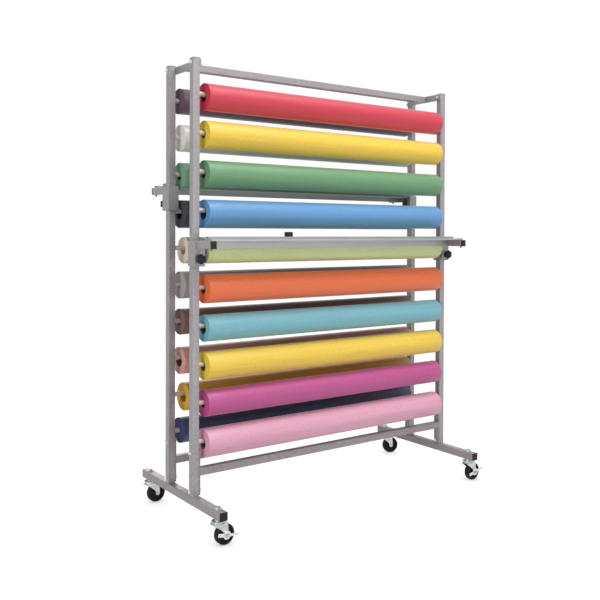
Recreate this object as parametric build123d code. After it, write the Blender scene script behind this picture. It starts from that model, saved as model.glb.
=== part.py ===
from build123d import *
import os

# Paper roll rack on casters: ten rolls in front, ten behind, and a sliding cutter on each side.
# Millimetres, +Z up, front towards -Y. The origin is on the floor, midway between the uprights.

# Square frame tube
tube_size = 28.6
foot_tube_size = 31.7
tube_wall = 1.5
tube_corner = 2.5

# Paper rolls and the rods that carry them
roll_length = 1219.0
roll_diameter = 103.0
core_play = 19.0
core_wall = 2.5
core_fit = 0.05
rod_diameter = 19.0
rod_wall = 1.5
rod_engagement = 11.0
rod_hole_clearance = 0.3
roll_seat_gap = 0.3
roll_end_gap = 23.0
front_roll_names = ("red", "yellow_upper", "green", "blue", "lime",
                    "orange", "teal", "yellow_lower", "magenta", "pink")
rear_roll_names = ("purple", "white", "green", "black", "cream",
                   "grey", "brown", "salmon", "gold", "navy")
front_roll_diameter_shares = (1.0, 1.015, 0.98, 1.02, 0.945, 1.06, 0.99, 1.035, 0.97, 1.06)
rear_roll_diameter_shares = (0.98, 1.025, 1.03, 1.07, 1.025, 1.05, 1.0, 1.04, 1.08, 0.97)
front_core_play_shares = (0.96, 0.55, 0.76, 1.29, 0.81, 0.74, 1.12, 0.83, 0.51, 1.03)
rear_core_play_shares = (0.1, 0.1, 0.65, 1.24, 1.08, 0.3, 0.4, 1.4, 1.45, 0.1)
short_roll_length_shares = {"rear_roll_cream": 0.985, "rear_roll_gold": 0.983}
roll_shift_shares = {"rear_roll_purple": -0.2, "rear_roll_cream": 0.35, "rear_roll_gold": 0.35}

# Where the rolls hang
roll_pitch = 144.3
lowest_rod_rise = 24.2
top_rod_depth = 132.7
column_spacing = 195.4

# Flat bars bolted to the inner faces of the uprights
plate_thickness = 5.0
tie_plate_drop = 3.5
end_plate_lift = 3.0
end_plate_height = 173.2
lower_rail_lift = 74.2
end_bolt_margin = 14.0

# Frame bolts, washers and nuts
bolt_diameter = 8.0
bolt_clearance = 0.2
bolt_flats = 13.0
bolt_head_height = 5.3
bolt_tip = 3.0
nut_height = 6.5
washer_diameter = 17.0
washer_thickness = 1.6

# Caps and plugs that close the tubes
cap_thickness = 2.5
plug_head = 3.0
arm_plug_head = 8.5
plug_insert = 8.0
plug_clearance = 0.1
plug_edge = 2.0

# Feet
foot_reach = 204.3
caster_inset = 38.7

# Caster wheel
wheel_diameter = 76.0
tyre_width = 24.0
tyre_shoulder = 5.0
tyre_seat_diameter = 56.0
tyre_fit = 0.05
hub_web_width = 16.0
hub_boss_diameter = 22.0
hub_side_gap = 0.4
axle_diameter = 8.0
axle_clearance = 0.1
axle_head_diameter = 11.0
axle_head_height = 2.2
axle_dimple_diameter = 6.0
axle_dimple_depth = 1.5

# Caster fork and its race
caster_trail = 26.0
caster_trail_angles = {"front_left": 3.0, "front_right": 2.0, "rear_left": 5.0, "rear_right": -20.0}
fork_side_gap = 2.0
fork_top_clearance = 4.0
leg_thickness = 2.5
leg_end_radius = 9.0
leg_front_reach = 22.0
leg_front_drop = 5.0
leg_back_inset = 3.0
leg_neck_rise = 7.0
leg_sweep = 2.0
crown_diameter = 50.0
crown_thickness = 3.0
lower_race_diameter = 42.0
lower_race_height = 4.0
race_gap = 0.3
upper_race_diameter = 48.0
upper_race_thickness = 3.6

# Caster stem
shoulder_height = 7.3
shoulder_flats = 19.0
stem_diameter = 11.0
stem_clearance = 0.1
stem_tip = 2.0
stem_nut_flats = 19.0
stem_nut_height = 7.0
stem_washer_diameter = 24.0
stem_washer_thickness = 2.0
king_pin_diameter = 10.0
king_pin_clearance = 0.3
king_pin_head_diameter = 16.0
king_pin_head_height = 2.5

# Side brake lever on the front casters
lever_gap = 0.3
lever_thickness = 3.0
lever_disc_diameter = 31.0
lever_boss_diameter = 17.0
lever_boss_height = 2.5
lever_long_reach = 50.0
lever_short_reach = 36.0
lever_root_width = 13.0
lever_tip_width = 6.0
pedal_length = 17.0
pedal_height = 8.0
lever_nut_flats = 13.0
lever_nut_height = 6.0
lever_bolt_tip = 1.5
lever_rest_angles = {"front_left": -8.5, "front_right": 13.0}

# Cutter carriage: clamp sleeves, arms and track
front_cutter_height = 952.0
rear_cutter_height = 1162.4
sleeve_height = 95.0
sleeve_wall = 3.2
sleeve_clearance = 0.4
sleeve_front_reach = 36.0
sleeve_inner_reach = 25.5
arm_width = 22.2
web_clearance = 6.2
web_thickness = 3.0
web_end_gap = 0.3
track_width = 75.2
track_base_thickness = 3.0
track_end_margin = 4.0
track_lip_height = 8.0
track_lip_thickness = 2.5
track_rail_setback = 4.0
track_rail_width = 26.0
track_rail_height = 12.7
track_rail_end_inset = 10.0
slot_mouth_width = 8.0
slot_mouth_depth = 2.0
slot_width = 14.0
slot_height = 2.5
arm_end_margin = 3.0
track_screw_setback = 8.0
track_screw_diameter = 5.0
track_screw_clearance = 0.2
track_screw_head_diameter = 9.0
track_screw_head_height = 3.0
track_screw_tip = 3.0
track_nut_flats = 8.0
track_nut_height = 4.0

# Cutter head
head_length = 30.0
head_width = 20.0
head_height = 18.0
head_corner = 4.0
head_edge = 2.0
head_gap = 0.3
head_rest_x = -274.0
grip_length = 17.0
grip_depth = 2.0
shoe_length = 4.5
shoe_end_inset = 2.0
shoe_clearance = 0.3
blade_diameter = 14.0
blade_thickness = 0.6
blade_clearance = 0.5
blade_drop = 1.5
blade_pin_diameter = 4.0

# Clamp knob
knob_diameter = 37.0
knob_thickness = 13.0
knob_edge = 3.0
knob_lobes = 6
knob_scallop_diameter = 13.0
knob_scallop_depth = 3.5
knob_boss_diameter = 18.0
knob_boss_length = 10.1
knob_boss_gap = 0.3
knob_height = 27.5
stud_diameter = 8.0
stud_fit = 0.1
stud_tip_gap = 0.3
stud_seat_depth = 17.0

# One overrun serves all cuts
overrun = 2.0

# Layout worked out from the sizes above
roll_count = len(front_roll_names)
inner_width = roll_length + 2 * roll_end_gap
upright_x = (inner_width + tube_size) / 2
upright_y = column_spacing / 2
tube_half = tube_size / 2
axle_height = wheel_diameter / 2
crown_bottom = wheel_diameter + fork_top_clearance
crown_top = crown_bottom + crown_thickness
lower_race_top = crown_top + lower_race_height
upper_race_bottom = lower_race_top + race_gap
upper_race_top = upper_race_bottom + upper_race_thickness
foot_bottom = upper_race_top + shoulder_height
foot_top = foot_bottom + foot_tube_size
foot_middle = (foot_bottom + foot_top) / 2
foot_half = upright_y + tube_half + foot_reach
caster_y = foot_half - caster_inset
end_plate_bottom = foot_top + end_plate_lift
end_plate_top = end_plate_bottom + end_plate_height
lowest_rod_z = end_plate_top + lowest_rod_rise
top_rod_z = lowest_rod_z + (roll_count - 1) * roll_pitch
upright_top = top_rod_z + top_rod_depth
tube_top = upright_top - cap_thickness
tie_plate_top = upright_top - tie_plate_drop
tie_plate_bottom = tie_plate_top - tube_size
tie_plate_middle = (tie_plate_top + tie_plate_bottom) / 2
lower_rail_middle = foot_top + lower_rail_lift + tube_half
frame_bolt_heights = (end_plate_bottom + end_bolt_margin, end_plate_top - end_bolt_margin, tie_plate_middle)
plate_face_x = upright_x - tube_half - plate_thickness
leg_inner = tyre_width / 2 + fork_side_gap
leg_outer = leg_inner + leg_thickness
crown_back = caster_trail + leg_end_radius - leg_back_inset
widest_share = max(front_roll_diameter_shares + rear_roll_diameter_shares)
web_back = roll_diameter * widest_share / 2 + web_clearance
track_front = web_back + track_width
arm_end = track_front + arm_end_margin
rail_middle = web_back + track_rail_setback + track_rail_width / 2
rail_top = track_base_thickness + track_rail_height
corners = {"front_left": (-1, -1), "front_right": (1, -1), "rear_left": (-1, 1), "rear_right": (1, 1)}


# General shapes

def block(x0, x1, y0, y1, z0, z1):
    """Box between two opposite corners, in any order."""
    size = (abs(x1 - x0), abs(y1 - y0), abs(z1 - z0))
    return Pos((x0 + x1) / 2, (y0 + y1) / 2, (z0 + z1) / 2) * Box(*size)


def drum(diameter, z0, z1):
    """Upright cylinder on the Z axis."""
    return Pos(0, 0, (z0 + z1) / 2) * Cylinder(diameter / 2, z1 - z0)


def ring(outer, inner, z0, z1):
    """Upright cylinder with a hole right through it."""
    return drum(outer, z0, z1) - drum(inner, z0 - overrun, z1 + overrun)


def hexagon(flats, z0, z1):
    """Upright six-sided prism, by its width across flats."""
    return Pos(0, 0, z0) * extrude(RegularPolygon(flats / 2, 6, major_radius=False), amount=z1 - z0)


def hex_nut(flats, bore, z0, z1):
    return hexagon(flats, z0, z1) - drum(bore, z0 - overrun, z1 + overrun)


def tube(length, width, depth):
    """Rectangular tube with rounded corners, centred, along Z."""
    outer = RectangleRounded(width, depth, tube_corner)
    inner = RectangleRounded(width - 2 * tube_wall, depth - 2 * tube_wall, tube_corner - tube_wall)
    return Pos(0, 0, -length / 2) * extrude(outer - inner, amount=length)


def plug(head, width, depth):
    """Plug for a tube of this section: its head stands above Z = 0 and its insert reaches below."""
    inset = 2 * (tube_wall + plug_clearance)
    body = extrude(RectangleRounded(width, depth, tube_corner), amount=head)
    body = fillet(body.faces().sort_by(Axis.Z)[-1].edges(), plug_edge)
    insert = RectangleRounded(width - inset, depth - inset, tube_corner - tube_wall)
    return body + extrude(insert, amount=-plug_insert)


def along_x(shape):
    """Turn a shape made along Z so that it lies along X."""
    return Rot(0, 90, 0) * shape


def along_front(shape):
    """Turn a shape made along +Z so that it points to the front, along -Y."""
    return Rot(90, 0, 0) * shape


def save(name, *pieces):
    """Write one node, keeping each of its pieces a separate solid."""
    solids = [solid for piece in pieces for solid in piece.solids()]
    export_step(Compound(solids), os.path.join("parts", name + ".step"))


# Frame

def upright(side, row):
    """Tube with holes for the rod ends in its inner wall, and for the bolts through it."""
    post = Pos(0, 0, (foot_top + tube_top) / 2) * tube(tube_top - foot_top, tube_size, tube_size)
    for index in range(roll_count):
        hole = along_x(drum(rod_diameter + 2 * rod_hole_clearance, 0, tube_size))
        hole = hole if side < 0 else Rot(0, 0, 180) * hole
        post -= Pos(0, 0, lowest_rod_z + index * roll_pitch) * hole
    for height in frame_bolt_heights:
        reach = tube_half + overrun
        post -= Pos(0, 0, height) * along_x(drum(bolt_diameter + 2 * bolt_clearance, -reach, reach))
    return Pos(side * upright_x, row * upright_y, 0) * post


def foot(side):
    bar = Rot(90, 0, 0) * tube(2 * foot_half, foot_tube_size, foot_tube_size)
    for row in (-1, 1):
        reach = foot_tube_size / 2 + overrun
        bar -= Pos(0, row * caster_y, 0) * drum(stem_diameter + 2 * stem_clearance, -reach, reach)
    return Pos(side * upright_x, 0, foot_middle) * bar


def bolt_hole(x, y, z):
    reach = plate_thickness + overrun
    return Pos(x, y, z) * along_x(drum(bolt_diameter + 2 * bolt_clearance, -reach, reach))


def tie_plate(side):
    """Flat bar across the tops of a front and a rear upright."""
    end = upright_y + tube_half
    x0, x1 = side * plate_face_x, side * (upright_x - tube_half)
    bar = block(x0, x1, -end, end, tie_plate_bottom, tie_plate_top)
    for row in (-1, 1):
        bar -= bolt_hole(x0, row * upright_y, tie_plate_middle)
    return bar


def end_plate(side, row):
    """Flat bar that bolts a lower rail's end to its upright."""
    x0, x1 = side * plate_face_x, side * (upright_x - tube_half)
    y = row * upright_y
    bar = block(x0, x1, y - tube_half, y + tube_half, end_plate_bottom, end_plate_top)
    for height in frame_bolt_heights[:2]:
        bar -= bolt_hole(x0, y, height)
    return bar


def rail(y, z):
    """Square tube from plate to plate."""
    return Pos(0, y, z) * along_x(tube(2 * plate_face_x, tube_size, tube_size))


def frame_bolt(side, row, height):
    """Bolt from the outer face, with its washer, and a nut on the plate inside."""
    face = tube_half + washer_thickness
    inner = -tube_half - plate_thickness
    bore = bolt_diameter + 2 * bolt_clearance
    bolt = hexagon(bolt_flats, face, face + bolt_head_height)
    bolt += drum(bolt_diameter, inner - nut_height - bolt_tip, face)
    washer = ring(washer_diameter, bore, tube_half, face)
    nut = hex_nut(bolt_flats, bore, inner - nut_height, inner)
    turn = 0 if side > 0 else 180
    place = Pos(side * upright_x, row * upright_y, height) * Rot(0, 0, turn)
    return [place * along_x(piece) for piece in (bolt, washer, nut)]


def foot_plug(side, row):
    turn = 0 if row < 0 else 180
    place = Pos(side * upright_x, row * foot_half, foot_middle) * Rot(0, 0, turn)
    return place * along_front(plug(plug_head, foot_tube_size, foot_tube_size))


# Paper rolls

def roll_rod(index, row):
    half = inner_width / 2 + rod_engagement
    pipe = ring(rod_diameter, rod_diameter - 2 * rod_wall, -half, half)
    return Pos(0, row * upright_y, top_rod_z - index * roll_pitch) * along_x(pipe)


def paper_roll(name, index, row, diameter_share, play_share):
    """Paper winding on a cardboard core that hangs on its rod by the play in its bore."""
    half = roll_length * short_roll_length_shares.get(name, 1) / 2
    play = core_play * play_share
    core_bore = rod_diameter + play
    core_diameter = core_bore + 2 * core_wall
    core = ring(core_diameter, core_bore, -half, half)
    paper = ring(roll_diameter * diameter_share, core_diameter + 2 * core_fit, -half, half)
    drop = play / 2 - roll_seat_gap
    shift = roll_end_gap * roll_shift_shares.get(name, 0)
    place = Pos(shift, row * upright_y, top_rod_z - index * roll_pitch - drop)
    return place * along_x(core), place * along_x(paper)


# Casters: the swivel axis is Z, the wheel trails towards +X and its axle lies along Y

def caster_place(corner):
    side, row = corners[corner]
    return Pos(side * upright_x, row * caster_y, 0)


def caster_stem():
    """Stem with its shoulder, upper race and king pin, then a washer and a nut on the foot."""
    bore = stem_diameter + 2 * stem_clearance
    washer_top = foot_top + stem_washer_thickness
    nut_top = washer_top + stem_nut_height
    pin_bottom = crown_bottom - race_gap - king_pin_head_height
    stem = drum(king_pin_head_diameter, pin_bottom, pin_bottom + king_pin_head_height)
    stem += drum(king_pin_diameter, pin_bottom, upper_race_top)
    stem += drum(upper_race_diameter, upper_race_bottom, upper_race_top)
    stem += hexagon(shoulder_flats, upper_race_top, foot_bottom)
    stem += drum(stem_diameter, upper_race_top, nut_top + stem_tip)
    washer = ring(stem_washer_diameter, bore, foot_top, washer_top)
    nut = hex_nut(stem_nut_flats, bore, washer_top, nut_top)
    return stem, washer, nut


def leg_outline():
    """Side view of a fork leg: wide under the crown, narrowing to a round end at the axle."""
    front = (-leg_front_reach, crown_top)
    root = (-leg_front_reach, crown_bottom - leg_front_drop)
    back = (crown_back, crown_top)
    right = (caster_trail + leg_end_radius, axle_height)
    low = (caster_trail, axle_height - leg_end_radius)
    left = (caster_trail - leg_end_radius, axle_height)
    neck = (caster_trail - leg_end_radius, axle_height + leg_neck_rise)
    flare = ((neck[0] + root[0]) / 2 + leg_sweep, (neck[1] + root[1]) / 2 + leg_sweep)
    edges = Polyline(root, front, back, right) + ThreePointArc(right, low, left)
    edges += Line(left, neck) + ThreePointArc(neck, flare, root)
    return make_face(edges)


def caster_fork():
    crown = drum(crown_diameter, crown_bottom, crown_top)
    crown += block(0, crown_back, -leg_outer, leg_outer, crown_bottom, crown_top)
    crown += drum(lower_race_diameter, crown_top, lower_race_top)
    leg = extrude(Plane.XZ * leg_outline(), amount=leg_thickness)
    fork = crown + Pos(0, -leg_inner, 0) * leg + Pos(0, leg_outer, 0) * leg
    fork -= drum(king_pin_diameter + 2 * king_pin_clearance, crown_bottom - overrun, lower_race_top + overrun)
    reach = leg_outer + overrun
    axle_hole = along_front(drum(axle_diameter + 2 * axle_clearance, -reach, reach))
    return fork - Pos(caster_trail, 0, axle_height) * axle_hole


def rivet_head(outward):
    """Dimpled head on the outside of one fork leg, with the axle along Z."""
    tip = leg_outer + axle_head_height
    head = drum(axle_head_diameter, leg_outer, tip) - drum(axle_dimple_diameter, tip - axle_dimple_depth, tip)
    return head if outward > 0 else Rot(180, 0, 0) * head


def caster_axle(braked):
    """Axle riveted at both ends, or with a nut outside the brake lever."""
    if braked:
        nut_seat = leg_outer + 2 * lever_gap + lever_thickness + lever_boss_height
        nut_top = nut_seat + lever_nut_height
        pin = drum(axle_diameter, -leg_outer, nut_top + lever_bolt_tip)
        pin += hexagon(lever_nut_flats, nut_seat, nut_top)
    else:
        pin = drum(axle_diameter, -leg_outer, leg_outer) + rivet_head(1)
    return Pos(caster_trail, 0, axle_height) * along_front(pin + rivet_head(-1))


def caster_wheel():
    """Tyre with round shoulders on a hub that runs from leg to leg."""
    half = tyre_width / 2
    boss_half = leg_inner - hub_side_gap
    tyre = ring(wheel_diameter, tyre_seat_diameter, -half, half)
    rims = tyre.edges().filter_by(GeomType.CIRCLE).group_by(SortBy.RADIUS)[-1]
    tyre = fillet(rims, tyre_shoulder)
    hub = drum(tyre_seat_diameter - 2 * tyre_fit, -hub_web_width / 2, hub_web_width / 2)
    hub += drum(hub_boss_diameter, -boss_half, boss_half)
    hub -= drum(axle_diameter + 2 * axle_clearance, -boss_half - overrun, boss_half + overrun)
    place = Pos(caster_trail, 0, axle_height)
    return place * along_front(tyre), place * along_front(hub)


def wing(reach, tip_width):
    """Tapered wing of a brake lever, from the axle out along X."""
    root, tip = lever_root_width / 2, tip_width / 2
    return Polygon((0, -root), (reach, -tip), (reach, tip), (0, root), align=None)


def brake_lever(rest_angle):
    """Cam disc with a long wing, a short wing, and a pedal bent out of the long one."""
    outline = Circle(lever_disc_diameter / 2) + wing(lever_long_reach, lever_tip_width)
    outline += Rot(0, 0, 180) * wing(lever_short_reach, lever_root_width)
    outline -= Circle(axle_diameter / 2 + axle_clearance)
    lever = extrude(outline, amount=lever_thickness)
    top = lever_thickness + lever_boss_height
    lever += ring(lever_boss_diameter, axle_diameter + 2 * axle_clearance, lever_thickness, top)
    edge = lever_tip_width / 2
    lever += block(lever_long_reach - pedal_length, lever_long_reach, edge - lever_thickness, edge, 0, pedal_height)
    place = Pos(caster_trail, -leg_outer - lever_gap, axle_height) * Rot(0, -rest_angle, 0)
    return place * along_front(lever)


# Cutter carriage, made about the front roll column: Y = 0 is the column's plane and Z = 0 the arms' tops

def clamp_bracket(side):
    """Channel that slides on an upright, open towards the rolls, with an arm welded to its front."""
    near = tube_half + sleeve_clearance
    far = near + sleeve_wall
    x_in, x_out = -side * sleeve_inner_reach, side * far
    channel = block(side * near, x_out, -sleeve_front_reach, far, -sleeve_height, 0)
    channel += block(x_in, x_out, near, far, -sleeve_height, 0)
    channel += block(x_in, x_out, -sleeve_front_reach, -sleeve_front_reach + sleeve_wall, -sleeve_height, 0)
    hole = along_front(drum(stud_diameter + 2 * stud_fit, 0, sleeve_front_reach + overrun))
    channel -= Pos(0, 0, knob_height - sleeve_height) * hole
    length = arm_end - sleeve_front_reach
    arm = Rot(90, 0, 0) * tube(length, arm_width, tube_size)
    arm = Pos(0, -sleeve_front_reach - length / 2, -tube_half) * arm
    screw = drum(track_screw_diameter + 2 * track_screw_clearance, -tube_size - overrun, overrun)
    arm -= Pos(0, track_screw_setback - track_front, 0) * screw
    return Pos(side * upright_x, 0, 0) * (channel + arm)


def arm_plug(side):
    head = along_front(plug(arm_plug_head, arm_width, tube_size))
    return Pos(side * upright_x, -arm_end, -tube_half) * head


def cutter_track():
    """One extrusion: a base on the arms with a lip in front, a slotted rail on it and a web between the arms."""
    base_end = upright_x + track_end_margin
    rail_end = upright_x - track_rail_end_inset
    web_end = upright_x - arm_width / 2 - web_end_gap
    base = block(-base_end, base_end, -track_front, -web_back, 0, track_base_thickness)
    base += block(-base_end, base_end, -track_front, -track_front + track_lip_thickness, 0, track_lip_height)
    rail_y0 = -rail_middle - track_rail_width / 2
    rail_y1 = -rail_middle + track_rail_width / 2
    slotted = block(-rail_end, rail_end, rail_y0, rail_y1, track_base_thickness, rail_top)
    run = rail_end + overrun
    for width, z0, z1 in ((slot_mouth_width, rail_top - slot_mouth_depth, rail_top + overrun),
                          (slot_width, rail_top - slot_mouth_depth - slot_height, rail_top - slot_mouth_depth)):
        slotted -= block(-run, run, -rail_middle - width / 2, -rail_middle + width / 2, z0, z1)
    web = block(-web_end, web_end, -web_back - web_thickness, -web_back, -tube_size, track_base_thickness)
    track = base + slotted + web
    for side in (-1, 1):
        screw = drum(track_screw_diameter + 2 * track_screw_clearance, -overrun, track_base_thickness + overrun)
        track -= Pos(side * upright_x, track_screw_setback - track_front, 0) * screw
    return track


def track_screw(side):
    """Pan-head screw through track and arm, with a nut below the arm."""
    head_top = track_base_thickness + track_screw_head_height
    nut_bottom = -tube_size - track_nut_height
    screw = drum(track_screw_head_diameter, track_base_thickness, head_top)
    screw += drum(track_screw_diameter, nut_bottom - track_screw_tip, track_base_thickness)
    nut = hex_nut(track_nut_flats, track_screw_diameter + 2 * track_screw_clearance, nut_bottom, -tube_size)
    place = Pos(side * upright_x, track_screw_setback - track_front, 0)
    return place * screw, place * nut


def cutter_head():
    """Sliding block with two shoes in the track's slot and a round blade on a pin between them."""
    bottom = rail_top + head_gap
    top = bottom + head_height
    body = extrude(RectangleRounded(head_length, head_width, head_corner), amount=head_height)
    body = fillet(body.faces().sort_by(Axis.Z)[-1].edges(), head_edge)
    body = Pos(0, 0, bottom) * body
    for row in (-1, 1):
        y0, y1 = row * (head_width / 2 - grip_depth), row * (head_width / 2 + overrun)
        body -= block(-grip_length / 2, grip_length / 2, y0, y1, bottom + head_edge, top - head_edge)
    slot_top = rail_top - slot_mouth_depth - shoe_clearance
    slot_bottom = rail_top - slot_mouth_depth - slot_height + shoe_clearance
    neck = slot_mouth_width / 2 - shoe_clearance
    wide = slot_width / 2 - shoe_clearance
    for end in (-1, 1):
        x0 = end * (head_length / 2 - shoe_end_inset)
        x1 = x0 - end * shoe_length
        body += block(x0, x1, -neck, neck, slot_bottom, bottom)
        body += block(x0, x1, -wide, wide, slot_bottom, slot_top)
    blade_z = rail_top - blade_drop + blade_diameter / 2
    pocket = blade_diameter / 2 + blade_clearance
    gap = blade_thickness / 2 + blade_clearance
    body -= block(-pocket, pocket, -gap, gap, bottom - overrun, blade_z)
    body -= Pos(0, 0, blade_z) * along_front(drum(2 * pocket, -gap, gap))
    pin_reach = head_width / 2 - grip_depth
    pin_bore = blade_pin_diameter + 2 * core_fit
    body -= Pos(0, 0, blade_z) * along_front(drum(pin_bore, -pin_reach - overrun, pin_reach + overrun))
    blade = Pos(0, 0, blade_z) * along_front(ring(blade_diameter, pin_bore, -blade_thickness / 2, blade_thickness / 2))
    pin = Pos(0, 0, blade_z) * along_front(drum(blade_pin_diameter, -pin_reach, pin_reach))
    place = Pos(head_rest_x, -rail_middle, 0)
    return place * body, place * blade, place * pin


def clamp_knob(side):
    """Lobed knob on a stud that reaches through the sleeve to the upright's face."""
    back = sleeve_front_reach + knob_boss_gap
    head_back = back + knob_boss_length
    front = head_back + knob_thickness
    knob = drum(knob_diameter, head_back, front)
    cutter_radius = knob_diameter / 2 - knob_scallop_depth + knob_scallop_diameter / 2
    for lobe in range(knob_lobes):
        scallop = Pos(cutter_radius, 0, 0) * drum(knob_scallop_diameter, head_back - overrun, front + overrun)
        knob -= Rot(0, 0, 360 * lobe / knob_lobes) * scallop
    knob = fillet(knob.faces().sort_by(Axis.Z)[-1].edges(), knob_edge)
    knob += drum(knob_boss_diameter, back, head_back)
    stud_end = back + stud_seat_depth
    knob -= drum(stud_diameter + 2 * core_fit, back - overrun, stud_end)
    stud = drum(stud_diameter, tube_half + stud_tip_gap, stud_end)
    place = Pos(side * upright_x, 0, knob_height - sleeve_height)
    return place * along_front(knob), place * along_front(stud)


def save_cutter(row_name, height, turn):
    """Write one cutter; turn swings it round to its own side of the rack."""
    place = Rot(0, 0, turn) * Pos(0, -upright_y, foot_top + height)
    hand = {-1: "left", 1: "right"} if turn == 0 else {-1: "right", 1: "left"}
    sides = (-1, 1)
    prefix = row_name + "_cutter_"
    save(prefix + "brackets", *[place * clamp_bracket(side) for side in sides])
    save(prefix + "arm_plugs", *[place * arm_plug(side) for side in sides])
    save(prefix + "track", place * cutter_track())
    save(prefix + "screws", *[place * piece for side in sides for piece in track_screw(side)])
    save(prefix + "head", *[place * piece for piece in cutter_head()])
    for side in sides:
        save(prefix + hand[side] + "_knob", *[place * piece for piece in clamp_knob(side)])


# Write every node

def save_frame():
    sides = (-1, 1)
    for corner, (side, row) in corners.items():
        save(corner + "_upright", upright(side, row))
    save("left_foot", foot(-1))
    save("right_foot", foot(1))
    save("top_tie_plates", *[tie_plate(side) for side in sides])
    save("top_rail", rail(0, tie_plate_middle))
    save("front_lower_rail", rail(-upright_y, lower_rail_middle))
    save("rear_lower_rail", rail(upright_y, lower_rail_middle))
    save("lower_rail_end_plates", *[end_plate(*corner) for corner in corners.values()])
    bolts = [frame_bolt(side, row, height) for side, row in corners.values() for height in frame_bolt_heights]
    save("frame_bolts", *[piece for bolt in bolts for piece in bolt])
    cap = plug(cap_thickness, tube_size, tube_size)
    caps = [Pos(side * upright_x, row * upright_y, tube_top) * cap for side, row in corners.values()]
    save("upright_caps", *caps)
    save("foot_end_plugs", *[foot_plug(*corner) for corner in corners.values()])


def save_rolls():
    save("roll_rods", *[roll_rod(index, row) for row in (-1, 1) for index in range(roll_count)])
    columns = (("front_roll_", -1, front_roll_names, front_roll_diameter_shares, front_core_play_shares),
               ("rear_roll_", 1, rear_roll_names, rear_roll_diameter_shares, rear_core_play_shares))
    for prefix, row, names, diameter_shares, play_shares in columns:
        for index, colour in enumerate(names):
            name = prefix + colour
            save(name, *paper_roll(name, index, row, diameter_shares[index], play_shares[index]))


def save_casters():
    save("caster_stems", *[caster_place(corner) * piece for corner in corners for piece in caster_stem()])
    for corner, angle in caster_trail_angles.items():
        place = caster_place(corner) * Rot(0, 0, angle)
        braked = corner in lever_rest_angles
        save(corner + "_caster_fork", place * caster_fork(), place * caster_axle(braked))
        save(corner + "_caster_wheel", *[place * piece for piece in caster_wheel()])
        if braked:
            save(corner + "_brake_lever", place * brake_lever(lever_rest_angles[corner]))


os.makedirs("parts", exist_ok=True)
save_frame()
save_rolls()
save_casters()
save_cutter("front", front_cutter_height, 0)
save_cutter("rear", rear_cutter_height, 180)
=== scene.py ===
import math

import bmesh
import bpy
from mathutils import Matrix, Vector


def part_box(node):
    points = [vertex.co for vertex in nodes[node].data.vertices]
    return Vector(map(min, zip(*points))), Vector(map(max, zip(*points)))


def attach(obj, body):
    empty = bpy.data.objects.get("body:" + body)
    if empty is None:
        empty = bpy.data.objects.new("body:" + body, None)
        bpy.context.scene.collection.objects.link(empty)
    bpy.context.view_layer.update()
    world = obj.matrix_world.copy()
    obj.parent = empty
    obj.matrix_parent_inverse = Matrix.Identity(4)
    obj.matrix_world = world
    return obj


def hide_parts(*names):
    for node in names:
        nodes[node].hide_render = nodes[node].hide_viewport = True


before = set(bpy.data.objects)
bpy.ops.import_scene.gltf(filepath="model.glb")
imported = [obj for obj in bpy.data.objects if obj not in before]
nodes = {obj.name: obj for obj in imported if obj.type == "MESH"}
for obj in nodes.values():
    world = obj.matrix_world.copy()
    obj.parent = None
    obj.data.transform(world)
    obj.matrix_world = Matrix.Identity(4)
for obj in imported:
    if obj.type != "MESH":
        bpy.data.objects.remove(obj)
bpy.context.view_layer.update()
scene = bpy.context.scene
scene.view_settings.view_transform = "Standard"

# Colours in linear light. Pairs are the darkest and the palest tone of a finish.

ROWS = {
    "front": ("red", "yellow_upper", "green", "blue", "lime",
              "orange", "teal", "yellow_lower", "magenta", "pink"),
    "rear": ("purple", "white", "green", "black", "cream",
             "grey", "brown", "salmon", "gold", "navy"),
}
PAPER_COLOURS = {
    "front_red": (0.55, 0.022, 0.052),
    "front_yellow_upper": (0.79, 0.53, 0.048),
    "front_green": (0.120, 0.282, 0.132),
    "front_blue": (0.098, 0.282, 0.54),
    "front_lime": (0.60, 0.69, 0.32),
    "front_orange": (0.80, 0.148, 0.036),
    "front_teal": (0.168, 0.420, 0.485),
    "front_yellow_lower": (0.80, 0.54, 0.055),
    "front_magenta": (0.45, 0.060, 0.235),
    "front_pink": (0.69, 0.335, 0.455),
    "rear_purple": (0.110, 0.066, 0.100),
    "rear_white": (0.82, 0.76, 0.70),
    "rear_green": (0.175, 0.36, 0.225),
    "rear_black": (0.046, 0.042, 0.064),
    "rear_cream": (0.80, 0.66, 0.55),
    "rear_grey": (0.40, 0.355, 0.36),
    "rear_brown": (0.19, 0.105, 0.090),
    "rear_salmon": (0.66, 0.32, 0.29),
    "rear_gold": (0.62, 0.36, 0.045),
    "rear_navy": (0.028, 0.040, 0.115),
}
PAPER_FACE_SHADES = (0.93, 1.05)
# End faces: ring tone plus painted light, up to a third paler than the paper.
PAPER_END_RINGS_AND_PAINTED_LIGHT = (0.88, 1.36)
PALE_CORES = ("white", "cream", "grey", "gold")
# Pale cores: the board's pale tone, brightened further as painted light in the bore.
PALE_BOARD_AND_PAINTED_BORE_LIGHT = (1.1, 1.4)
# Other cores: the paper's colour darkened as painted shade inside the bore.
PAINTED_BORE_SHADOW = (0.30, 0.45)
PAINT = ((0.290, 0.270, 0.281), (0.370, 0.348, 0.360))
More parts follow.
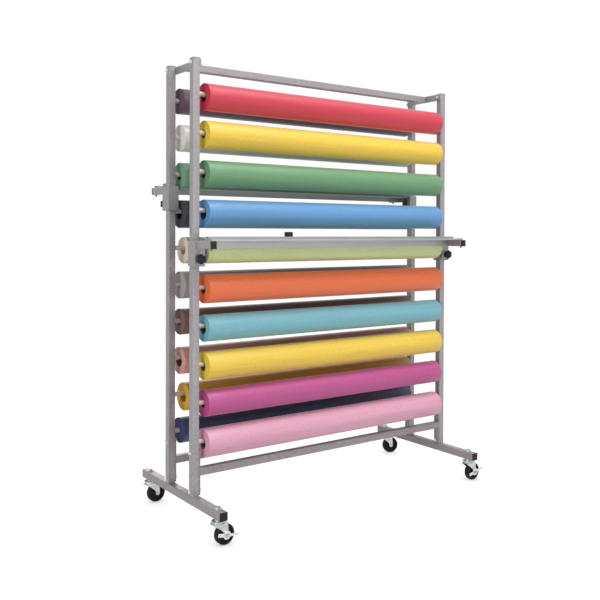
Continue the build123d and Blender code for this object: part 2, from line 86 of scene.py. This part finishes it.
# The same enamel, darker and warmer, as painted shade on the feet and lower rails.
PAINT_WITH_PAINTED_SHADE = ((0.254, 0.220, 0.230), (0.332, 0.294, 0.305))
ZINC = ((0.40, 0.42, 0.425), (0.64, 0.67, 0.675))
BRIGHT_STEEL = ((0.56, 0.57, 0.57), (0.80, 0.81, 0.81))
LEVER_STEEL = ((0.60, 0.59, 0.56), (0.84, 0.83, 0.79))
DARK_STEEL = ((0.06, 0.06, 0.065), (0.12, 0.12, 0.125))
ROD_STEEL = ((0.62, 0.52, 0.46), (0.82, 0.71, 0.64))
ALUMINIUM = ((0.33, 0.33, 0.335), (0.46, 0.46, 0.46))
BLACK_PLASTIC = ((0.012, 0.010, 0.012), (0.022, 0.019, 0.022))
KNOB_PLASTIC = ((0.009, 0.009, 0.014), (0.017, 0.017, 0.026))
RUBBER = ((0.008, 0.007, 0.007), (0.018, 0.015, 0.015))

# Paper rolls, in metres

ROLL_SIDES = 80
FACE_SLOT, END_SLOT, CORE_SLOT = 0, 1, 2
CORE_WALL = 0.0025
CORE_INSET = 0.0004
EDGE_ROUND = 0.0011
EDGE_SHARE = 0.3
END_RINGS = 9
END_RIPPLE = 0.00045
END_CYCLES = 2.0
FACE_SPANS = 16
FACE_RIPPLE = 0.00012
FACE_CYCLES = 3.0
LAP_DEPTH = 0.0004
LAP_ANGLES = {"front": math.radians(40), "rear": math.radians(220)}
LAP_SPREAD = 0.3
LAP_PHASE = 2.1
SHARP_ANGLE = math.radians(40)

# Each roll has a seed of its own, and each of its surfaces an offset from it

ROW_SEEDS = {"front": 0.0, "rear": 0.5}
FAR_END_SEED = 3.1
FACE_SEED = 5.0
SEED_PHASE = 1.7
SECOND_WAVE = 0.6
SECOND_CYCLES = 2.3
WAVE_PEAK = 1 + SECOND_WAVE

# Floor, surround, lamps (place, target, size in metres, power in watts) and camera

FLOOR_REACH = 30.0
FLOOR_BOUNCE = 0.78
FLOOR_SHOWN = 0.10
FLOOR_GLOW = 0.985
CONTACT_REACH = 0.14
CONTACT_SHADE = 0.42
CONTACT_BETWEEN = (0.10, 0.85)
WHITE = 1.0
SURROUND_COLOUR = (0.97, 0.98, 1.0, 1.0)
SURROUND_LIGHT = 0.34
LAMPS = {
    "key": ((0.3, -3.6, 3.9), (0.0, 0.0, 0.9), (3.2, 1.8), 62.0),
    "fill": ((-4.6, -1.2, 1.4), (0.0, 0.0, 0.8), (2.4, 2.4), 54.0),
    "low_front": ((0.6, -4.4, 0.7), (0.0, 0.0, 0.8), (4.0, 1.2), 26.0),
    "top": ((0.2, -1.6, 4.7), (0.0, -0.1, 0.8), (3.0, 1.4), 114.0),
    "back": ((0.9, 4.4, 2.6), (0.0, 0.0, 0.9), (3.2, 1.8), 70.0),
}
CAMERA_PLACE = (-2.0566, -2.7184, 1.1165)
CAMERA_HEADING = math.radians(-35.863)
CAMERA_TILT = math.radians(90.0 - 0.6)
CAMERA_LEAN = math.radians(0.208)
CAMERA_SENSOR = 36.0
CAMERA_LENS = 47.563
CAMERA_SHIFT = -0.09983
CAMERA_CLIP = 100.0


# Material helpers

def new_material(name):
    material = bpy.data.materials.new(name)
    material.use_nodes = True
    tree = material.node_tree
    return material, tree, tree.nodes["Principled BSDF"]


def add(tree, kind, values=None, **settings):
    item = tree.nodes.new("ShaderNode" + kind)
    for key, value in settings.items():
        setattr(item, key, value)
    for key, value in (values or {}).items():
        item.inputs[key].default_value = value
    return item


def object_coordinates(tree, scale=(1.0, 1.0, 1.0)):
    place = add(tree, "TexCoord")
    mapping = add(tree, "Mapping", {"Scale": scale})
    tree.links.new(place.outputs["Object"], mapping.inputs["Vector"])
    return mapping.outputs["Vector"]


def noise(tree, vector, scale=1.0, detail=3.0, roughness=0.55):
    item = add(tree, "TexNoise", {"Scale": scale, "Detail": detail, "Roughness": roughness})
    tree.links.new(vector, item.inputs["Vector"])
    return item.outputs["Fac"]


def ring_noise(tree, radius, scale, detail, roughness):
    """Noise that changes only with the distance from the roll's axis."""
    values = {"Scale": scale, "Detail": detail, "Roughness": roughness}
    item = add(tree, "TexNoise", values, noise_dimensions="1D")
    tree.links.new(radius, item.inputs["W"])
    return item.outputs["Fac"]


def ramp(tree, value, low, high, between=(0.30, 0.70)):
    """From low to high while the value goes between two levels; a plain number makes a grey."""
    item = add(tree, "ValToRGB")
    for element, position, colour in zip(item.color_ramp.elements, between, (low, high)):
        element.position = position
        level = (colour,) * 3 if isinstance(colour, float) else colour
        element.color = (*level, 1.0)
    tree.links.new(value, item.inputs["Fac"])
    return item.outputs["Color"]


def shade(colour, factor):
    return tuple(min(1.0, channel * factor) for channel in colour)


def shades(colour, factors):
    return tuple(shade(colour, factor) for factor in factors)


def multiply(tree, first, second):
    item = add(tree, "Mix", data_type="RGBA", blend_type="MULTIPLY")
    item.inputs[0].default_value = 1.0
    tree.links.new(first, item.inputs[6])
    tree.links.new(second, item.inputs[7])
    return item.outputs[2]


def bump(tree, shader, height, distance, strength, edge=0.0):
    """Relief from a height, with edges softened over the given radius."""
    item = add(tree, "Bump", {"Strength": strength, "Distance": distance})
    tree.links.new(height, item.inputs["Height"])
    if edge:
        soft = add(tree, "Bevel", {"Radius": edge}, samples=6)
        tree.links.new(soft.outputs["Normal"], item.inputs["Normal"])
    tree.links.new(item.outputs["Normal"], shader.inputs["Normal"])


# Materials

def hammertone(name, colours):
    """Silver-grey stove enamel with the small dimples of a hammer finish."""
    material, tree, shader = new_material(name)
    vector = object_coordinates(tree)
    dimples = {"Scale": 230.0, "Smoothness": 0.9, "Randomness": 1.0}
    cells = add(tree, "TexVoronoi", dimples, feature="SMOOTH_F1")
    tree.links.new(vector, cells.inputs["Vector"])
    mottle = noise(tree, vector, scale=120.0, detail=4.0, roughness=0.6)
    broad = noise(tree, vector, scale=6.0, detail=2.0)
    tint = ramp(tree, mottle, *colours)
    drift = ramp(tree, broad, 0.94, 1.0)
    tree.links.new(multiply(tree, tint, drift), shader.inputs["Base Color"])
    tree.links.new(ramp(tree, mottle, 0.50, 0.36), shader.inputs["Roughness"])
    shader.inputs["Metallic"].default_value = 0.25
    bump(tree, shader, cells.outputs["Distance"], distance=0.0006, strength=0.5, edge=0.0028)
    return material


def plated_steel(name, colours, polished, dull):
    """Plated steel, faintly clouded, with its roughness where it is polished and where it is dull."""
    material, tree, shader = new_material(name)
    vector = object_coordinates(tree)
    cloud = noise(tree, vector, scale=55.0, detail=5.0, roughness=0.6)
    grain = noise(tree, vector, scale=900.0, detail=2.0)
    between = (0.30, 0.72)
    tree.links.new(ramp(tree, cloud, *colours, between), shader.inputs["Base Color"])
    tree.links.new(ramp(tree, cloud, dull, polished, between), shader.inputs["Roughness"])
    shader.inputs["Metallic"].default_value = 1.0
    bump(tree, shader, grain, distance=0.0001, strength=0.35)
    return material


def drawn_metal(name, colours, polished, dull, metallic):
    """Metal with fine lines drawn along X."""
    material, tree, shader = new_material(name)
    lines = noise(tree, object_coordinates(tree, (3.0, 900.0, 900.0)), detail=3.0, roughness=0.6)
    cloud = noise(tree, object_coordinates(tree), scale=9.0, detail=3.0)
    between = (0.25, 0.75)
    tint = ramp(tree, lines, *colours, between)
    drift = ramp(tree, cloud, 0.92, 1.0)
    tree.links.new(multiply(tree, tint, drift), shader.inputs["Base Color"])
    tree.links.new(ramp(tree, lines, dull, polished, between), shader.inputs["Roughness"])
    shader.inputs["Metallic"].default_value = metallic
    bump(tree, shader, lines, distance=0.0001, strength=0.30)
    return material


def moulded_plastic(name, colours, polished, dull, grain_scale):
    """Black moulded plastic or rubber with a fine spark-eroded grain."""
    material, tree, shader = new_material(name)
    vector = object_coordinates(tree)
    grain = noise(tree, vector, scale=grain_scale, detail=3.0, roughness=0.6)
    cloud = noise(tree, vector, scale=40.0, detail=3.0)
    tree.links.new(ramp(tree, cloud, *colours), shader.inputs["Base Color"])
    tree.links.new(ramp(tree, grain, polished, dull), shader.inputs["Roughness"])
    shader.inputs["Specular IOR Level"].default_value = 0.17
    bump(tree, shader, grain, distance=0.0002, strength=0.4)
    return material


def paper_face(name, colour):
    """Outer turn of a roll: matt paper with a soft sheen, a faint mottle, fibres and lengthwise streaks."""
    material, tree, shader = new_material(name)
    streak = noise(tree, object_coordinates(tree, (2.0, 55.0, 55.0)), detail=4.0, roughness=0.6)
    blotch = noise(tree, object_coordinates(tree, (90.0, 170.0, 170.0)), detail=3.0, roughness=0.65)
    fibre = noise(tree, object_coordinates(tree), scale=1100.0, detail=2.0)
    tint = ramp(tree, streak, *shades(colour, PAPER_FACE_SHADES), (0.28, 0.72))
    mottle = ramp(tree, blotch, 0.89, 1.0, (0.30, 0.68))
    speck = ramp(tree, fibre, 0.94, 1.0, (0.25, 0.60))
    tree.links.new(multiply(tree, multiply(tree, tint, mottle), speck), shader.inputs["Base Color"])
    tree.links.new(ramp(tree, blotch, 0.53, 0.43), shader.inputs["Roughness"])
    shader.inputs["Specular IOR Level"].default_value = 0.62
    shader.inputs["Sheen Weight"].default_value = 0.30
    shader.inputs["Sheen Roughness"].default_value = 0.40
    bump(tree, shader, fibre, distance=0.00008, strength=0.5)
    return material


def paper_ends(name, colour):
    """Wound paper seen end on: fine rings, a little uneven from turn to turn, with painted light that makes
    the ends paler than the paper's face.
    """
    material, tree, shader = new_material(name)
    length = add(tree, "VectorMath", operation="LENGTH")
    tree.links.new(object_coordinates(tree, (0.0, 1.0, 1.0)), length.inputs[0])
    radius = length.outputs["Value"]
    fine = ring_noise(tree, radius, scale=1500.0, detail=4.0, roughness=0.65)
    broad = ring_noise(tree, radius, scale=260.0, detail=2.0, roughness=0.5)
    # Ring tone, partly raised above the paper's colour as painted light on the ends.
    tint = ramp(tree, fine, *shades(colour, PAPER_END_RINGS_AND_PAINTED_LIGHT))
    band = ramp(tree, broad, 0.88, 1.0, (0.35, 0.65))
    tree.links.new(multiply(tree, tint, band), shader.inputs["Base Color"])
    tree.links.new(ramp(tree, fine, 0.92, 0.75), shader.inputs["Roughness"])
    bump(tree, shader, fine, distance=0.0005, strength=0.6)
    return material


def core_board(name, colours):
    """Spiral-wound core, seen in the bore, in the colours given: painted shade of the bore for dark cores,
    pale board with painted light for pale cores.
    """
    material, tree, shader = new_material(name)
    fibre = noise(tree, object_coordinates(tree), scale=420.0, detail=4.0, roughness=0.65)
    seam = add(tree, "TexWave", {"Scale": 9.0, "Distortion": 0.6, "Detail": 2.0}, wave_type="BANDS")
    tree.links.new(object_coordinates(tree, (1.0, 0.35, 0.0)), seam.inputs["Vector"])
    tint = ramp(tree, fibre, *colours)
    line = ramp(tree, seam.outputs["Fac"], 0.72, 1.0, (0.02, 0.10))
    tree.links.new(multiply(tree, tint, line), shader.inputs["Base Color"])
    tree.links.new(ramp(tree, fibre, 0.92, 0.80), shader.inputs["Roughness"])
    bump(tree, shader, fibre, distance=0.0002, strength=0.5)
    return material


paint = hammertone("hammertone_paint", PAINT)
# Darker copy of the enamel, painted shade for the lower frame.
paint_with_painted_shade = hammertone("hammertone_base_paint", PAINT_WITH_PAINTED_SHADE)
zinc = plated_steel("bright_zinc", ZINC, polished=0.22, dull=0.40)
bright_steel = plated_steel("bright_steel", BRIGHT_STEEL, polished=0.16, dull=0.30)
lever_steel = plated_steel("pale_zinc", LEVER_STEEL, polished=0.25, dull=0.42)
dark_steel = plated_steel("blackened_steel", DARK_STEEL, polished=0.30, dull=0.45)
rod_steel = drawn_metal("rod_steel", ROD_STEEL, polished=0.36, dull=0.46, metallic=0.30)
aluminium = drawn_metal("track_aluminium", ALUMINIUM, polished=0.40, dull=0.50, metallic=0.80)
black_plastic = moulded_plastic("black_plastic", BLACK_PLASTIC, polished=0.30, dull=0.46, grain_scale=1300.0)
knob_plastic = moulded_plastic("knob_plastic", KNOB_PLASTIC, polished=0.32, dull=0.48, grain_scale=1600.0)
rubber = moulded_plastic("wheel_rubber", RUBBER, polished=0.55, dull=0.75, grain_scale=800.0)


def dress(material, *names):
    for node in names:
        slots = nodes[node].data.materials
        slots.clear()
        slots.append(material)


def dress_frame():
    dress(paint, "top_rail", "top_tie_plates", "front_left_upright", "front_right_upright",
          "rear_left_upright", "rear_right_upright", "front_cutter_brackets", "rear_cutter_brackets")
    # Feet and lower rails get the copy with painted shade.
    dress(paint_with_painted_shade, "left_foot", "right_foot", "front_lower_rail", "rear_lower_rail",
          "lower_rail_end_plates")
    dress(bright_steel, "frame_bolts")
    dress(zinc, "caster_stems")
    dress(lever_steel, "front_left_brake_lever", "front_right_brake_lever")
    dress(black_plastic, "upright_caps", "foot_end_plugs", "front_cutter_arm_plugs", "rear_cutter_arm_plugs",
          "front_cutter_head", "rear_cutter_head")
    for row in ROWS:
        dress(aluminium, row + "_cutter_track")
        dress(dark_steel, row + "_cutter_screws")
        for hand in ("left", "right"):
            dress(knob_plastic, row + "_cutter_" + hand + "_knob")
            dress(zinc, row + "_" + hand + "_caster_fork")
            dress(rubber, row + "_" + hand + "_caster_wheel")
    dress(rod_steel, "roll_rods")


# Paper rolls

def wave(position, seed, cycles):
    """Two slow waves along a position from 0 to 1, different for each seed."""
    first = math.sin(cycles * position * math.tau + seed * SEED_PHASE)
    return first + SECOND_WAVE * math.sin(cycles * SECOND_CYCLES * position * math.tau + seed)


def ripple(depth, position, seed, cycles):
    """How far a wavy surface lies inside its outline, from nothing to twice the depth."""
    return depth * (1 + wave(position, seed, cycles) / WAVE_PEAK)


def bore_radius(node, centre):
    """Smallest distance of the node's mesh from the roll's own axis."""
    place = nodes[node].matrix_world
    points = [place @ vertex.co - centre for vertex in nodes[node].data.vertices]
    return min(math.hypot(point.y, point.z) for point in points)


def roll_profile(radius, bore, half, seed):
    """Stations (x, radius, material slot) from the bore over the near end, the face and the far end."""
    core = bore + CORE_WALL
    rim = radius - EDGE_ROUND
    soft = EDGE_ROUND * EDGE_SHARE
    near, face, far = [], [], []
    for ring in range(1, END_RINGS):
        share = ring / END_RINGS
        r = core + (rim - core) * share
        near.append((-half + ripple(END_RIPPLE, share, seed, END_CYCLES), r, END_SLOT))
        far.append((half - ripple(END_RIPPLE, share, seed + FAR_END_SEED, END_CYCLES), r, END_SLOT))
    for span in range(1, FACE_SPANS):
        share = span / FACE_SPANS
        dip = ripple(FACE_RIPPLE, share, seed + FACE_SEED, FACE_CYCLES)
        face.append((-half + 2 * half * share, radius - dip, FACE_SLOT))
    return [
        (-half + CORE_INSET, bore, CORE_SLOT),
        (-half + CORE_INSET, core, CORE_SLOT),
        (-half, core, END_SLOT),
        *near,
        (-half, rim, END_SLOT),
        (-half + soft, radius - soft, END_SLOT),
        (-half + EDGE_ROUND, radius, FACE_SLOT),
        *face,
        (half - EDGE_ROUND, radius, FACE_SLOT),
        (half - soft, radius - soft, END_SLOT),
        (half, rim, END_SLOT),
        *reversed(far),
        (half, core, END_SLOT),
        (half - CORE_INSET, core, CORE_SLOT),
        (half - CORE_INSET, bore, CORE_SLOT),
    ]


def winding_mesh(name, stations, radius, lap_angle):
    """Surface of revolution about X through the stations, whose outer turn steps down at the lap."""
    mesh = bmesh.new()
    loops = []
    for x, r, slot in stations:
        loop = []
        for side in range(ROLL_SIDES):
            angle = math.tau * side / ROLL_SIDES
            turn = ((angle - lap_angle) % math.tau) / math.tau
            lap = LAP_DEPTH * turn if r > radius - LAP_DEPTH else 0.0
            loop.append(mesh.verts.new((x, (r - lap) * math.cos(angle), (r - lap) * math.sin(angle))))
        loops.append(loop)
    loops.append(loops[0])
    slots = [slot for x, r, slot in stations] + [CORE_SLOT]
    for first in range(len(stations)):
        a, b = loops[first], loops[first + 1]
        for side in range(ROLL_SIDES):
            after = (side + 1) % ROLL_SIDES
            face = mesh.faces.new((a[side], b[side], b[after], a[after]))
            face.smooth = True
            face.material_index = max(slots[first], slots[first + 1])
    bmesh.ops.recalc_face_normals(mesh, faces=mesh.faces)
    data = bpy.data.meshes.new(name)
    mesh.to_mesh(data)
    mesh.free()
    data.set_sharp_from_angle(angle=SHARP_ANGLE)
    return data


def paper_roll(row, name, seed):
    node = row + "_roll_" + name
    label = row + "_" + name
    low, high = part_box(node)
    centre = (low + high) / 2
    radius = (high.y - low.y) / 2
    stations = roll_profile(radius, bore_radius(node, centre), (high.x - low.x) / 2, seed)
    lap_angle = LAP_ANGLES[row] + LAP_SPREAD * math.sin(seed * LAP_PHASE)
    data = winding_mesh(node + "_winding", stations, radius, lap_angle)
    colour = PAPER_COLOURS[label]
    # Core colour: painted shade of the bore for most rolls, painted light on pale board for the pale ones.
    painted_bore_shading = PALE_BOARD_AND_PAINTED_BORE_LIGHT if name in PALE_CORES else PAINTED_BORE_SHADOW
    data.materials.append(paper_face("paper_" + label, colour))
    data.materials.append(paper_ends("paper_ends_" + label, colour))
    data.materials.append(core_board("core_" + label, shades(colour, painted_bore_shading)))
    piece = bpy.data.objects.new(node + "_winding", data)
    piece.location = centre
    scene.collection.objects.link(piece)
    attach(piece, node)
    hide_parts(node)


# Stage, light and camera

def grey(level):
    return (level, level, level, 1.0)


def white_surround(tree):
    """One for rays that show the background itself: straight to the camera, mirrored or passed through."""
    path = add(tree, "LightPath")
    total = add(tree, "Math", operation="ADD", use_clamp=True)
    tree.links.new(path.outputs["Is Camera Ray"], total.inputs[0])
    seen = add(tree, "Math", operation="ADD", use_clamp=True)
    tree.links.new(path.outputs["Is Glossy Ray"], seen.inputs[0])
    tree.links.new(path.outputs["Is Transmission Ray"], seen.inputs[1])
    tree.links.new(seen.outputs[0], total.inputs[1])
    return total.outputs[0]


def build_world():
    world = bpy.data.worlds.new("studio_surround")
    scene.world = world
    world.use_nodes = True
    tree = world.node_tree
    tree.nodes.clear()
    seen = add(tree, "Background", {"Color": grey(WHITE), "Strength": WHITE})
    light = add(tree, "Background", {"Color": SURROUND_COLOUR, "Strength": SURROUND_LIGHT})
    choose = add(tree, "MixShader")
    out = add(tree, "OutputWorld")
    tree.links.new(white_surround(tree), choose.inputs[0])
    tree.links.new(light.outputs[0], choose.inputs[1])
    tree.links.new(seen.outputs[0], choose.inputs[2])
    tree.links.new(choose.outputs[0], out.inputs["Surface"])


def floor_material():
    """White floor that keeps a soft shadow where the wheels touch it."""
    material = bpy.data.materials.new("white_floor")
    material.use_nodes = True
    tree = material.node_tree
    tree.nodes.clear()
    bounce = add(tree, "BsdfDiffuse", {"Color": grey(FLOOR_BOUNCE)})
    shown = add(tree, "BsdfDiffuse", {"Color": grey(FLOOR_SHOWN)})
    contact = add(tree, "AmbientOcclusion", {"Distance": CONTACT_REACH}, samples=16)
    glow = add(tree, "Emission", {"Strength": FLOOR_GLOW})
    dimmed = ramp(tree, contact.outputs["AO"], CONTACT_SHADE, WHITE, CONTACT_BETWEEN)
    tree.links.new(dimmed, glow.inputs["Color"])
    both = add(tree, "AddShader")
    choose = add(tree, "MixShader")
    out = add(tree, "OutputMaterial")
    tree.links.new(shown.outputs[0], both.inputs[0])
    tree.links.new(glow.outputs[0], both.inputs[1])
    tree.links.new(white_surround(tree), choose.inputs[0])
    tree.links.new(bounce.outputs[0], choose.inputs[1])
    tree.links.new(both.outputs[0], choose.inputs[2])
    tree.links.new(choose.outputs[0], out.inputs["Surface"])
    return material


def build_floor():
    data = bpy.data.meshes.new("floor")
    reach = FLOOR_REACH
    corners = [(-reach, -reach, 0), (reach, -reach, 0), (reach, reach, 0), (-reach, reach, 0)]
    data.from_pydata(corners, [], [(0, 1, 2, 3)])
    data.materials.append(floor_material())
    floor = bpy.data.objects.new("floor", data)
    scene.collection.objects.link(floor)


def area_light(name, place, target, size, power):
    data = bpy.data.lights.new(name, "AREA")
    data.shape = "RECTANGLE"
    data.size, data.size_y = size
    data.energy = power
    lamp = bpy.data.objects.new(name, data)
    lamp.location = place
    lamp.rotation_euler = (Vector(target) - Vector(place)).to_track_quat("-Z", "Y").to_euler()
    scene.collection.objects.link(lamp)


def build_camera():
    data = bpy.data.cameras.new("camera")
    data.sensor_width = CAMERA_SENSOR
    data.lens = CAMERA_LENS
    data.shift_y = CAMERA_SHIFT
    data.clip_end = CAMERA_CLIP
    camera = bpy.data.objects.new("camera", data)
    camera.location = CAMERA_PLACE
    heading = Matrix.Rotation(CAMERA_HEADING, 3, "Z")
    tilt = Matrix.Rotation(CAMERA_TILT, 3, "X")
    lean = Matrix.Rotation(CAMERA_LEAN, 3, "Z")
    camera.rotation_euler = (heading @ tilt @ lean).to_euler()
    scene.collection.objects.link(camera)
    scene.camera = camera


dress_frame()
for row, names in ROWS.items():
    for index, name in enumerate(names):
        paper_roll(row, name, index + ROW_SEEDS[row])
build_world()
build_floor()
for name, lamp in LAMPS.items():
    area_light(name, *lamp)
build_camera()
